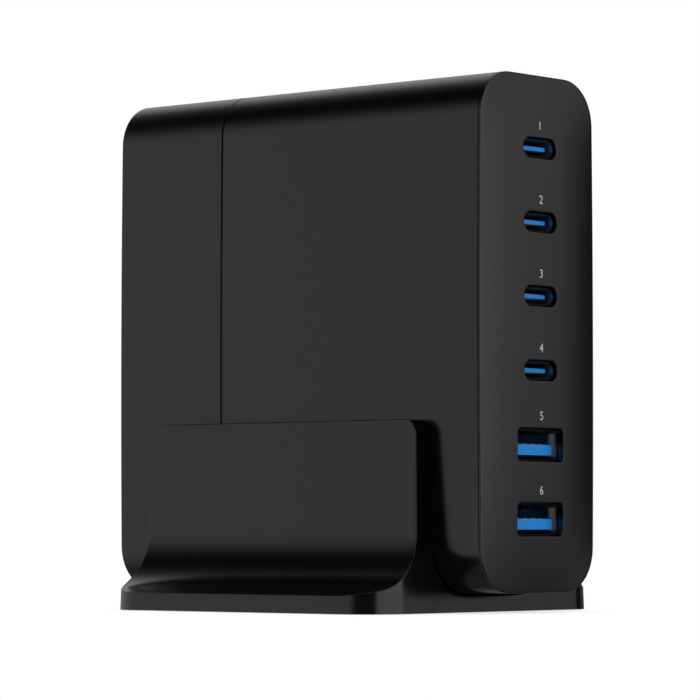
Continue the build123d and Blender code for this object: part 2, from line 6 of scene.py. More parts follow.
import bmesh
import bpy
import numpy as np
from bpy.props import FloatProperty, FloatVectorProperty, IntProperty, PointerProperty
from mathutils import Matrix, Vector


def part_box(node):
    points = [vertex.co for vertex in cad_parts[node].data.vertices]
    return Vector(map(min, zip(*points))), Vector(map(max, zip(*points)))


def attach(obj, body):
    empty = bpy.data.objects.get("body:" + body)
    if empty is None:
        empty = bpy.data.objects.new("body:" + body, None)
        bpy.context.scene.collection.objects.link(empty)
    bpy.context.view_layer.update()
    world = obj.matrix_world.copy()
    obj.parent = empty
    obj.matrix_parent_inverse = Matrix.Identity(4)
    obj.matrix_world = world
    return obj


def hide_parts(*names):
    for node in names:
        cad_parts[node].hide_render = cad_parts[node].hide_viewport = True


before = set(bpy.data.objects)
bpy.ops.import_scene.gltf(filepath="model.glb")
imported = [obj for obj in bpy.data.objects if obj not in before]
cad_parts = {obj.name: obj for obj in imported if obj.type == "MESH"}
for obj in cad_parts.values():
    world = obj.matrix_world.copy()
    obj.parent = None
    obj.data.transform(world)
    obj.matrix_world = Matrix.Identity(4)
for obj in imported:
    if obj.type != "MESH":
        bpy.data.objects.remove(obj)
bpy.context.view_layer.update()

bl_info = {
    "name": "USB Desktop Charger",
    "version": (1, 0, 0),
    "blender": (4, 5, 0),
    "location": "View3D > Sidebar > Charger",
    "description": "Builds the charger's mouldings, its finishes and its studio round the packed model",
    "category": "Object",
}

MM = 0.001
PLASTIC_IOR = 1.585
CREASE = 25
SPRING_CREASE = 40
WELD = 0.002 * MM
SLIVER = 0.0005 * MM
SIDE_STEPS = 16
CAPITAL_SHARE = 0.7
LAMP_SIZE = 0.7
LAMP_PLACE = (-0.35, -0.7, 0.55)
LAMP_AIM = (0.35, 0.7, -0.5)
SENSOR_MM = 36.0
TABLE_RADII = (0.0, 0.2, 1.0, 4.0)
TABLE_SIDES = 96
SHADE_REACH = 0.03
SHADE_DARKEST = 0.72
SHADE_CLEAR = 0.75
SHELL_LOW, SHELL_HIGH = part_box("main_shell")
COVER_LOW, COVER_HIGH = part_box("rear_cover")
PANEL_LOW, PANEL_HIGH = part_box("front_panel")
STAND_LOW, STAND_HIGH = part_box("stand")
INLET_LOW, INLET_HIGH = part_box("ac_inlet")
PORTS = [f"usb_c_shell_{i}" for i in range(1, 5)] + [f"usb_a_shell_{i}" for i in range(1, 3)]
C_LOW, C_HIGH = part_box("usb_c_shell_1")
A_LOW, A_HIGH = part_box("usb_a_shell_1")


def linear(code):
    """Linear RGB of an sRGB hex colour."""
    s = np.array([int(code[i:i + 2], 16) for i in (1, 3, 5)]) / 255
    return tuple(float(v) for v in np.where(s <= 0.04045, s / 12.92, ((s + 0.055) / 1.055) ** 2.4))


def length(name, description, default):
    """A length property in metres."""
    return FloatProperty(name=name, description=description, default=default, unit="LENGTH", precision=5)


def angle(name, description, degrees):
    """An angle property."""
    return FloatProperty(name=name, description=description, default=float(np.radians(degrees)), subtype="ANGLE")


def number(name, description, default):
    """A plain number property."""
    return FloatProperty(name=name, description=description, default=default)


def colour(name, description, code):
    """A colour property."""
    return FloatVectorProperty(name=name, description=description, default=linear(code), subtype="COLOR", size=3,
                               min=0.0, max=1.0)


class HousingSizes(bpy.types.PropertyGroup):
    """Sizes of the charger's sleeve and rear cover."""

    width: length("Width", "Across the crowned sides", SHELL_HIGH.x - SHELL_LOW.x)
    height: length("Height", "From bottom to top", SHELL_HIGH.z - SHELL_LOW.z)
    middle: length("Middle", "Height of the charger's middle above the table", (SHELL_HIGH.z + SHELL_LOW.z) / 2)
    corner: length("Corner", "Radius of the long edges", 8.0 * MM)
    crown: length("Crown", "How far the sides bow out", 0.37 * MM)
    wall: length("Wall", "Thickness of the sleeve", 2.0 * MM)
    seam_bevel: length("Seam bevel", "Bevel on each side of a seam", 0.22 * MM)
    rim: length("Rim", "Depth of the seam behind the panel", SHELL_LOW.y)
    seam: length("Seam", "Depth of the seam before the rear cover", SHELL_HIGH.y)
    rear: length("Rear", "Depth of the rear face", COVER_HIGH.y)
    rear_wall: length("Rear wall", "Thickness of the rear face", 2.4 * MM)
    rear_edge: length("Rear edge", "Radius round the rear face", 0.3 * MM)
    inlet_height: length("Inlet height", "Middle of the mains inlet above the table", (INLET_LOW.z + INLET_HIGH.z) / 2)
    inlet_spacing: length("Inlet spacing", "Between the inlet's two pins", 8.6 * MM)
    inlet_radius: length("Inlet radius", "Radius of the lobes of the inlet's hole", 5.45 * MM)
    inlet_neck: angle("Inlet neck", "Where the neck leaves a lobe", 60.0)


class PanelSizes(bpy.types.PropertyGroup):
    """Sizes of the socket panel."""

    land: length("Land", "Edge of the panel ahead of the seam", 0.35 * MM)
    bulge: length("Bulge", "How far the pillow rises over the edge", 0.84 * MM)
    power: IntProperty(name="Crown power", description="How late the pillow falls off towards its ends", default=6)
    back: length("Back", "Depth of the panel's back behind the seam", 1.2 * MM)
    edge: length("Edge", "Round on the panel's outer edge", 0.12 * MM)
    fit: length("Fit", "Between a socket's sleeve and the panel", 0.15 * MM)
    c_edge: length("Round opening edge", "Round on the round-ended openings", 0.14 * MM)
    a_edge: length("Flat opening edge", "Round on the flat openings", 0.14 * MM)
    lip: length("Lip", "Depth of the ring inside the sleeve", 3.0 * MM)
    lip_outer: length("Lip outer", "Inset of the ring's outside", 2.15 * MM)
    lip_inner: length("Lip inner", "Inset of the ring's inside", 3.15 * MM)
    a_width: length("Flat opening width", "Width of the flat openings", 12.8 * MM)
    a_height: length("Flat opening height", "Height of the flat openings", 5.8 * MM)
    a_corner: length("Flat opening corner", "Corner radius of the flat openings", 0.9 * MM)
    a_seat_corner: length("Flat seat corner", "Corner radius of the seats behind the flat openings", 0.75 * MM)
    number_height: length("Number height", "Height of the printed numbers", 1.5 * MM)
    number_gap_c: length("Number over round", "From a round-ended opening's middle to its number", 3.9 * MM)
    number_gap_a: length("Number over flat", "From a flat opening's middle to its number", 5.0 * MM)
    ink: length("Ink", "Thickness of the printed ink", 0.02 * MM)


class SpringSizes(bpy.types.PropertyGroup):
    """Sizes of the leaf springs on the flat sockets' side walls."""

    wall: length("Wall", "Thickness of the socket's sleeve", 0.3 * MM)
    setback: length("Setback", "From the sleeve's mouth to the spring", 0.1 * MM)
    length: length("Length", "Length along the socket", 3.4 * MM)
    height: length("Height", "Height of the spring", 4.0 * MM)
    reach: length("Reach", "How far it bows in from the wall", 0.7 * MM)
    leaf: length("Leaf", "Thickness of the leaf", 0.18 * MM)


class StandSizes(bpy.types.PropertyGroup):
    """Sizes of the cradle."""

    width: length("Width", "Across the base", STAND_HIGH.x - STAND_LOW.x)
    length: length("Length", "Front to rear of the base", STAND_HIGH.y - STAND_LOW.y)
    bottom: length("Bottom", "Height of the underside", STAND_LOW.z)
    top: length("Top", "Height of the walls", STAND_HIGH.z)
    corner: length("Corner", "Radius of the base's corners", 8.4 * MM)
    draft: angle("Draft", "Lean of the base's outside", 2.3)
    edge_height: length("Edge height", "Height of the base's outer edge above its underside", 3.13 * MM)
    slope: angle("Slope", "Slope of the base's top", 13.5)
    flare: length("Flare", "Radius between the base's top and a wall", 10.7 * MM)
    wall: length("Wall", "Thickness of a wall at its top", 3.05 * MM)
    lean: angle("Lean", "Lean of a wall's outside", 2.2)
    wall_corner: length("Wall corner", "Radius of a wall's upper ends", 2.6 * MM)
    clearance: length("Clearance", "Between the charger and the walls", 0.25 * MM)
    mouth: length("Mouth", "Lead-in at both ends of the trough", 0.9 * MM)
    edge: length("Edge", "Round on the outer edges", 0.15 * MM)
    foot: length("Foot", "Radius of the feet's seats", 4.52 * MM)
    foot_inset: length("Foot inset", "From the base's edge to a foot's middle", 10.5 * MM)
    foot_seat: length("Foot seat", "Depth of the feet's seats", 1.1 * MM)
    pocket_count: IntProperty(name="Pockets", description="Pockets under each wall", default=3)
    pocket_width: length("Pocket width", "Width of a pocket in the underside", 6.0 * MM)
    pocket_length: length("Pocket length", "Length of a pocket in the underside", 8.2 * MM)
    pocket_corner: length("Pocket corner", "Corner radius of a pocket", 1.5 * MM)
    pocket_depth: length("Pocket depth", "Depth of a pocket", 2.6 * MM)
    pocket_rib: length("Pocket rib", "Between two pockets", 2.4 * MM)
    pocket_inset: length("Pocket inset", "From the charger's side to a pocket's middle", 4.6 * MM)


class FinishColours(bpy.types.PropertyGroup):
    """Colours of the finishes."""

    plastic: colour("Plastic", "Black moulded plastic", "#040405")
    ink: colour("Ink", "Pad-printed numbers", "#c3c5c8")
    tongue: colour("Tongue", "Socket insulators", "#038be2")
    steel: colour("Steel", "Socket sleeves", "#b4b6b9")
    # Painted shade: the lip colour is laid on the sleeves' forward-facing front edges in place of the light they would
    # catch.
    lip: colour("Lip", "Blackened front edges of the socket sleeves", "#1c1d1e")


class StudioSettings(bpy.types.PropertyGroup):
    """Camera and light."""

    lens: number("Lens", "Focal length in millimetres", 188.79)
    place: FloatVectorProperty(name="Place", description="Where the camera stands", size=3, unit="LENGTH",
                               default=(-0.50349, -0.43304, 0.01479), precision=5)
    yaw: angle("Yaw", "Turn of the view from +Y towards +X", 49.254)
    pitch: angle("Pitch", "Rise of the view", 2.770)
    side_window: number("Side window", "White seen in gloss on the left", 0.56)
    front_window: number("Front window", "White seen in gloss in front", 1.0)
    rear_window: number("Rear window", "White seen in gloss high behind", 0.66)
    far_window: number("Far window", "White table seen in gloss beyond the photo's view", 0.5)
    soft_window: number("Soft window", "White seen in gloss straight up and down", 0.45)
    ambient: number("Ambient", "Level of the light from all round", 0.5)
    fill: FloatProperty(name="Fill", description="Power of the soft fill lamp", default=4.0, unit="POWER")


# Windows between the studio's dark flags, each with how much white passes by turn from -X towards -Y and by height, in
# degrees: left, front, high behind, the table beyond the photo's view, and the table and ceiling all round
SIDE_TURN = [(-180, 0.16), (-160, 0.2), (-150, 0.4), (-120, 0.5), (-90, 1.0), (-2, 1.0), (10, 0.05), (60, 0.04),
             (72, 0.0), (165, 0.0), (180, 0.16)]
SIDE_RISE = [(-50, 0.2), (-40, 0.27), (-34, 0.5), (-28, 0.7), (-20, 0.88), (-8, 1.0), (8, 1.0), (14, 0.88), (20, 0.68),
             (26, 0.4), (32, 0.14), (38, 0.03), (46, 0.0)]
FRONT_TURN = [(58, 0.0), (68, 1.0), (124, 1.0), (128, 0.98), (131, 0.7), (134, 0.45), (139, 0.38), (145, 0.39),
              (148, 0.4), (150, 0.16), (151.5, 0.0)]
FRONT_RISE = [(-90, 0.05), (-20, 0.1), (-8, 0.5), (0, 1.0), (8, 1.4), (18, 1.4), (30, 0.0)]
REAR_TURN = [(-170, 0.2), (-150, 0.75), (-135, 1.0), (-126, 1.0), (-119, 0.9), (-111, 0.6), (-100, 0.24), (-89, 0.1),
             (-77, 0.03), (-60, 0.0)]
REAR_RISE = [(-5, 0.0), (12, 0.3), (22, 0.6), (34, 1.0), (50, 1.0), (65, 0.5), (80, 0.0)]
FAR_TURN = [(-180, 1.0), (-172, 1.0), (-158, 0.0), (-4, 0.0), (8, 0.9), (60, 0.9), (72, 0.5), (100, 0.5), (112, 0.0),
            (156, 0.0), (166, 0.8), (180, 1.0)]
FAR_RISE = [(-60, 0.5), (-30, 0.9), (-11, 1.0), (-7, 0.4), (-3, 0.05), (4, 0.01), (16, 0.0)]
SOFT_TURN = [(-180, 1.0), (180, 1.0)]
SOFT_RISE = [(-64, 1.0), (-55, 0.0), (53, 0.0), (60, 0.7), (70, 1.0)]


class ChargerSettings(bpy.types.PropertyGroup):
    """Everything that a user may change."""

    housing: PointerProperty(type=HousingSizes)
    panel: PointerProperty(type=PanelSizes)
    spring: PointerProperty(type=SpringSizes)
    stand: PointerProperty(type=StandSizes)
    colours: PointerProperty(type=FinishColours)
    studio: PointerProperty(type=StudioSettings)


# Meshes from grids of points


def grid_faces(rows, columns, ring):
    """Corner numbers of a grid's faces, with points numbered row by row; ring joins the last column to the first."""
    start = np.arange(rows - 1)[:, None] * columns
    here = np.arange(columns if ring else columns - 1)[None, :]
    there = (here + 1) % columns
    return np.stack([start + here, start + there, start + columns + there, start + columns + here], -1).reshape(-1, 4)


def open_edges(work):
    """How many edges don't join two faces."""
    return sum(1 for edge in work.edges if len(edge.link_faces) != 2)


def smooth(mesh, crease):
    """Shade a mesh smooth up to the crease angle in degrees."""
    mesh.polygons.foreach_set("use_smooth", np.ones(len(mesh.polygons), bool))
    mesh.set_sharp_from_angle(angle=float(np.radians(crease)))


def add_piece(name, mesh, coat, nodes=()):
    """Put a mesh in the scene as a piece of the root, with its finish and the nodes that it replaces."""
    mesh.materials.append(coat)
    piece = bpy.data.objects.new(name, mesh)
    bpy.context.scene.collection.objects.link(piece)
    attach(piece, "root")
    if nodes:
        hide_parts(*nodes)
    return piece


def moulding(name, grids, crease, coat, slot, *nodes):
    """A closed piece from grids of points that meet at their edges, smooth up to the crease angle."""
    faces, count = [], 0
    for points, ring in grids:
        rows, columns = points.shape[:2]
        faces.append(grid_faces(rows, columns, ring) + count)
        count += rows * columns
    mesh = bpy.data.meshes.new(name)
    mesh.from_pydata(np.concatenate([points.reshape(-1, 3) for points, ring in grids]), [], np.concatenate(faces))
    work = bmesh.new()
    work.from_mesh(mesh)
    bmesh.ops.remove_doubles(work, verts=work.verts, dist=WELD)
    bmesh.ops.dissolve_degenerate(work, edges=work.edges, dist=SLIVER)
    bmesh.ops.recalc_face_normals(work, faces=work.faces)
    if open_edges(work):
        raise RuntimeError(f"{name} has {open_edges(work)} edges that aren't closed")
    work.to_mesh(mesh)
    work.free()
    smooth(mesh, crease)
    return add_piece(name, mesh, coat, nodes)


def stack(x, y, z):
    """Points from three arrays that broadcast together."""
    return np.stack(np.broadcast_arrays(x, y, z), -1)


def turn(a):
    """Unit vectors at the angles a."""
    return np.stack([np.cos(a), np.sin(a)], -1)


# Shapes of the housing


def port_heights():
    """Heights of the sockets' middles, from the top."""
    return np.array([(low.z + high.z) / 2 for low, high in map(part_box, PORTS)])


def section(s):
    """The charger's outline about its middle: points, outward normals, and where the sides pass the socket divisions.

    Sides are arcs of radius R = (h^2 + c^2) / 2c for half height h and crown c. Corner arcs of radius r touch them and
    the flat ends, so their centres are R - r from the sides' centre. One quarter is worked out and mirrored.
    """
    half = s.height / 2
    radius = (half ** 2 + s.crown ** 2) / (2 * s.crown)
    side = s.width / 2 - radius
    corner_z = half - s.corner
    corner_x = side + np.sqrt((radius - s.corner) ** 2 - corner_z ** 2)
    start = np.arctan2(corner_z, corner_x - side)
    heights = port_heights()
    marks = ((heights[:-1] + heights[1:]) / 2 - s.middle)
    marks = np.append(marks[marks > -0.01 * MM][::-1], radius * np.sin(start))
    steps = [np.linspace(a, b, SIDE_STEPS + 1)[1:] for a, b in zip(marks[:-1], marks[1:])]
    side_turn = turn(np.arcsin(np.concatenate([marks[:1], *steps]) / radius))
    corner_turn = turn(np.linspace(start, np.pi / 2, 29)[1:])
    flat = np.linspace(corner_x, 0, 13)[1:, None]
    points = np.concatenate([[side, 0] + radius * side_turn, [corner_x, corner_z] + s.corner * corner_turn,
                             np.concatenate([flat, np.full_like(flat, half)], 1)])
    normals = np.concatenate([side_turn, corner_turn, np.tile([0.0, 1.0], (len(flat), 1))])
    loop = [np.concatenate([a, a[-2::-1] * [-1, 1], -a[1:], a[-2:0:-1] * [1, -1]]) for a in (points, normals)]
    places = np.arange(len(marks) - 1) * SIDE_STEPS
    return loop[0], loop[1], places


def carried(s, rings):
    """The outline carried along the charger: each ring gives its depth and how far it is inset along the normals."""
    points, normals, places = section(s)
    y, inset = np.array(rings).T[:, :, None]
    flat = points[None] - inset[..., None] * normals[None]
    return stack(flat[..., 0], y, s.middle + flat[..., 1])


def quarter_round(y, inset, radius, steps, inward):
    """Rings of a quarter round that turns from the outside (inset 0) into an end face; inward is its way along y."""
    a = np.linspace(0, np.pi / 2, steps)
    return [(y - inward * radius * (1 - np.sin(t)), inset + radius * (1 - np.cos(t))) for t in a]


def sleeve_grid(s):
    """A tube with bevelled ends: its wall's outline carried round the section."""
    b = s.seam_bevel
    front, rear = s.rim, s.seam
    ys = np.linspace(front + b, rear - b, 25)
    rings = [(front, s.wall), (front, b), *((y, 0.0) for y in ys), (rear, b), (rear, s.wall)]
    rings += [(y, s.wall) for y in np.linspace(rear, front, 9)[1:]]
    return carried(s, rings)


def inlet_hole(s, direction):
    """Where rays from the inlet's middle meet its figure-eight hole: its lobes, or the neck's flats."""
    d = np.abs(direction)
    half = s.inlet_spacing / 2
    across = half * d[..., 0]
    lobe = across + np.sqrt(np.maximum(across ** 2 - half ** 2 + s.inlet_radius ** 2, 0))
    neck = s.inlet_radius * np.sin(s.inlet_neck) / np.maximum(d[..., 1], 1e-9)
    inside_neck = neck * d[..., 0] < half - s.inlet_radius * np.cos(s.inlet_neck)
    return np.where(inside_neck, neck, lobe)[..., None] * direction


def cover_grid(s):
    """A cup: the section carried back, rounded into the rear face, drawn in to the inlet's hole and returned inside."""
    b, r = s.seam_bevel, s.rear_edge
    ys = np.linspace(s.seam + b, s.rear - r, 15)
    outside = [(s.seam, s.wall), (s.seam, b), *((y, 0.0) for y in ys[:-1]), *quarter_round(s.rear, 0.0, r, 9, 1)]
    inside = [(s.rear - s.rear_wall, s.wall), *((y, s.wall) for y in np.linspace(s.rear - s.rear_wall, s.seam, 7)[1:])]
    outer, inner = carried(s, outside), carried(s, inside)
    centre = np.array([0.0, s.inlet_height])
    ray = outer[-1][:, [0, 2]] - centre
    hole = centre + inlet_hole(s, ray / np.linalg.norm(ray, axis=1, keepdims=True))
    share = np.linspace(0, 1, 7)[1:, None]
    face = stack(outer[-1, :, 0] + share * (hole[:, 0] - outer[-1, :, 0]), s.rear,
                 outer[-1, :, 2] + share * (hole[:, 1] - outer[-1, :, 2]))
    back = stack(hole[:, 0] + share * (inner[0, :, 0] - hole[:, 0]), s.rear - s.rear_wall,
                 hole[:, 1] + share * (inner[0, :, 2] - hole[:, 1]))
    edge = stack(hole[:, 0], s.rear - s.rear_wall, hole[:, 1])[None]
    return np.concatenate([outer, face, edge, back, inner[1:]])


# Shapes of the socket panel


def pillow(s, p, x, z):
    """Depth of the panel's front: the land, then bulge * (1 - (x/a)^2) * (1 - (z/b)^n) ahead of it."""
    rise = (1 - (x / (s.width / 2)) ** 2) * (1 - (np.abs(z) / (s.height / 2)) ** p.power)
    return s.rim - p.land - p.bulge * rise


def slot_rim(direction, width, height, corner):
    """Where rays from a rounded slot's middle meet its rim: a straight side, or else the corner's circle."""
    d = np.maximum(np.abs(direction), 1e-9)
    half_w, half_h = width / 2, height / 2
    side, end = half_w / d[:, 0], half_h / d[:, 1]
    centre = np.array([half_w - corner, half_h - corner])
    along = d @ centre
    arc = along + np.sqrt(np.maximum(along ** 2 - centre @ centre + corner ** 2, 0))
    reach = np.where(side * d[:, 1] <= half_h - corner, side, np.where(end * d[:, 0] <= half_w - corner, end, arc))
    return reach[:, None] * direction


def line(a, b, count=61):
    """Points between two ends, without the ends."""
    return a + np.linspace(0, 1, count)[1:-1, None] * (b - a)


def tile_rims(points, places):
    """Rims of the six fields round the sockets, from the top: pieces of the outline and the lines between fields."""
    total = len(points)
    half = total // 2
    upward = places[::-1]
    right = np.concatenate([upward, -places[1:]])
    left = half - right
    rims = []
    for i in range(len(right) + 1):
        if i == 0:
            rim = [points[np.arange(right[0], left[0] + 1)], line(points[left[0]], points[right[0]])]
        elif i == len(right):
            rim = [points[np.arange(left[-1], total + right[-1] + 1) % total],
                   line(points[right[-1]], points[left[-1]])]
        else:
            rim = [points[np.arange(right[i], right[i - 1] + 1) % total],
                   line(points[right[i - 1]], points[left[i - 1]]),
                   points[np.arange(left[i - 1], left[i] + 1)], line(points[left[i]], points[right[i]])]
        rims.append(np.concatenate(rim))
    return rims


def panel_grids(s, p):
    """The panel as six fields, each drawn from its socket's opening out to its rim, and a band round the outside.

    Along a ray from the socket's middle a field runs over its back, through the sleeve's seat and the opening, round
    the opening's edge by a quarter circle, and over the pillow to the rim.
    """
    points, normals, places = section(s)
    back = s.rim + p.back
    fronts = tile_rims(points - p.edge * normals, places)
    backs = tile_rims(points - p.lip_inner * normals, places)
    c_size, a_seat = [np.array([high.x - low.x, high.z - low.z]) + 2 * p.fit
                      for low, high in ((C_LOW, C_HIGH), (A_LOW, A_HIGH))]
    c_opening = (*c_size, c_size[1] / 2)
    a_opening = (p.a_width, p.a_height, p.a_corner)
    grids = []
    for i, height in enumerate(port_heights()):
        opening, seat, edge = (c_opening, c_opening, p.c_edge) if i < 4 else (
            a_opening, (*a_seat, p.a_seat_corner), p.a_edge)
        middle = np.array([0.0, height - s.middle])
        ray = fronts[i] - middle
        ray = ray / np.linalg.norm(ray, axis=1, keepdims=True)
        seat_rim = middle + slot_rim(ray, *seat)
        flats = [backs[i], seat_rim, seat_rim, middle + slot_rim(ray, *opening)]
        depths = [np.full(len(ray), y) for y in (back, back, A_LOW.y - p.fit, A_LOW.y - p.fit)]
        for t in np.linspace(np.pi / 2, 0, 8):
            grow = edge * (1 - np.sin(t))
            flats.append(middle + slot_rim(ray, opening[0] + 2 * grow, opening[1] + 2 * grow, opening[2] + grow))
            depths.append(pillow(s, p, *flats[-1].T) + edge * (1 - np.cos(t)))
        start = flats[-1]
        for share in np.linspace(0, 1, 25)[1:]:
            flats.append(start + share * (fronts[i] - start))
            depths.append(pillow(s, p, *flats[-1].T))
        flats, depths = np.array(flats), np.array(depths)
        grids.append((stack(flats[..., 0], depths, s.middle + flats[..., 1]), True))
    front = pillow(s, p, *(points - p.edge * normals).T)
    turns = np.linspace(0, np.pi / 2, 5)
    insets = [*(p.edge * (1 - np.sin(t)) for t in turns), 0.0, p.lip_outer, p.lip_outer, p.lip_inner, p.lip_inner]
    depths = [*(front + p.edge * (1 - np.cos(t)) for t in turns), s.rim, s.rim, back + p.lip, back + p.lip, back]
    flat = points[None] - np.array(insets)[:, None, None] * normals[None]
    depth = np.array([np.broadcast_to(d, len(points)) for d in depths])
    return [*grids, (stack(flat[..., 0], depth, s.middle + flat[..., 1]), True)]


def spring_grid(s, node_name, side):
    """A leaf spring in a flat socket: it bows in by reach * sin^2 up a ramp, stays, and returns to the wall."""
    low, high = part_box(node_name)
    t = np.linspace(0, 1, 41)
    ramp = np.minimum(1, np.minimum(t / 0.4, (1 - t) / 0.45))
    inner = high.x - s.wall - s.reach * np.sin(np.pi / 2 * ramp) ** 2
    y = low.y + s.setback + s.length * t
    loop_x = side * np.concatenate([inner, (inner + s.leaf)[::-1]])
    middle = side * np.tile(inner + s.leaf / 2, 2)
    middle[len(t):] = middle[len(t) - 1::-1]
    loop_y = np.concatenate([y, y[::-1]])
    z = (low.z + high.z) / 2 + s.height * np.linspace(-0.5, 0.5, 9)
    rows = [stack(middle, loop_y, z[0]), *(stack(loop_x, loop_y, level) for level in z), stack(middle, loop_y, z[-1])]
    return np.array(rows)


# Shape of the cradle


def stand_path(s, t):
    """The cradle's profile from the trough's middle out to its edge: points, normals out of the plastic, edge rounds.

    Trough, inner edge, wall top, outer edge, leaning wall, flare arc and sloping base follow each other. The wall's
    two faces have points at the same heights; the last result holds where these begin and end.
    """
    points, normals, places = section(s)
    quarter = len(points) // 4
    low = slice(3 * quarter, 4 * quarter + 1)
    loop_p, loop_n = np.concatenate([points, points[:1]])[low], np.concatenate([normals, normals[:1]])[low]
    trough = loop_p + t.clearance * loop_n + [0, s.middle + t.clearance]
    lean, slope = turn(t.lean), turn(np.pi / 2 - t.slope)
    tan_lean, tan_slope = np.tan(t.lean), np.tan(t.slope)
    half, edge_z = t.width / 2, t.bottom + t.edge_height
    wall_x = s.width / 2 + t.clearance + t.wall
    knee_x = (wall_x + tan_lean * (t.top - edge_z - tan_slope * half)) / (1 - tan_lean * tan_slope)
    knee = np.array([knee_x, edge_z + tan_slope * (half - knee_x)])
    reach = t.flare * np.tan((np.pi / 2 - t.slope - t.lean) / 2)
    flare_start = knee + reach * np.array([-lean[1], lean[0]])
    flare_turn = turn(np.linspace(t.lean, np.pi / 2 - t.slope, 41))[1:]
    flare = flare_start + t.flare * lean - t.flare * flare_turn
    inner_top, round_start = t.top - t.edge, t.top - t.wall_corner
    heights = np.concatenate([np.linspace(flare_start[1], round_start, 16), round_start
                              + (inner_top - round_start) * np.sin(np.linspace(0, np.pi / 2, 10))[1:]])
    bed = trough[:, 1] < flare_start[1] - 0.2 * MM
    inner = np.stack([np.interp(heights, trough[:, 1], trough[:, 0]), heights], -1)
    in_turn = turn(np.linspace(np.pi, np.pi / 2, 7)[1:])
    edge_in = inner[-1] + [t.edge, 0] + t.edge * in_turn
    out_turn = turn(np.linspace(np.pi / 2, t.lean, 9))
    edge_out = np.array([wall_x - t.edge * (1 - lean[1]) / lean[0], inner_top]) + t.edge * out_turn
    roof = line(edge_in[-1], edge_out[0], 5)
    outer = np.stack([wall_x + tan_lean * (t.top - heights), heights], -1)[-2::-1]
    around = np.linspace(0, np.pi / 2, 40)
    around = around[np.sin(around) * (t.corner - t.edge) + half - t.corner > flare[-1, 0] + 0.3 * MM]
    base_x = half - t.corner + (t.corner - t.edge) * np.sin(around)
    for step in range(6):
        base_z = edge_z + tan_slope * (half - base_x)
        base_x = half - t.corner + (t.corner - t.edge - draft(t, base_z)) * np.sin(around)
    base = np.stack([base_x, base_z], -1)
    path = np.concatenate([trough[bed], inner, edge_in, roof, edge_out, outer, flare, base])
    out = np.concatenate([-loop_n[bed], np.tile([-1.0, 0.0], (len(inner), 1)), in_turn,
                          np.tile([0.0, 1.0], (len(roof), 1)), out_turn, np.tile(lean, (len(outer), 1)), flare_turn,
                          np.tile(slope, (len(base), 1))])
    edge = np.full(len(path), t.edge)
    edge[:bed.sum()] = np.maximum(t.mouth - 1.5 * draft(t, path[:bed.sum(), 1]), t.edge)
    first = bed.sum()
    last = first + len(inner) + len(edge_in) + len(roof) + len(edge_out) - 1
    return path, out, edge, (first, len(inner), len(edge_in), len(roof), last)


def draft(t, z):
    """How far the base's outside leans in at a height."""
    return (z - t.bottom) * np.tan(t.draft)


def half_length(t, x, z, inset=0.0):
    """Half of the cradle's length at x and z: straight ends, round corners in plan, and a round at the walls' ends."""
    corner_x, corner_y = t.width / 2 - t.corner, t.length / 2 - t.corner
    radius = t.corner - draft(t, z) - inset
    plan = corner_y + np.sqrt(np.maximum(radius ** 2 - np.maximum(x - corner_x, 0) ** 2, 0))
    low = t.top - t.wall_corner
    rise = np.clip(z - low, 0, t.wall_corner)
    end = t.length / 2 - draft(t, np.minimum(z, low)) - t.wall_corner
    return np.minimum(plan, end - inset + np.sqrt(t.wall_corner ** 2 - rise ** 2))


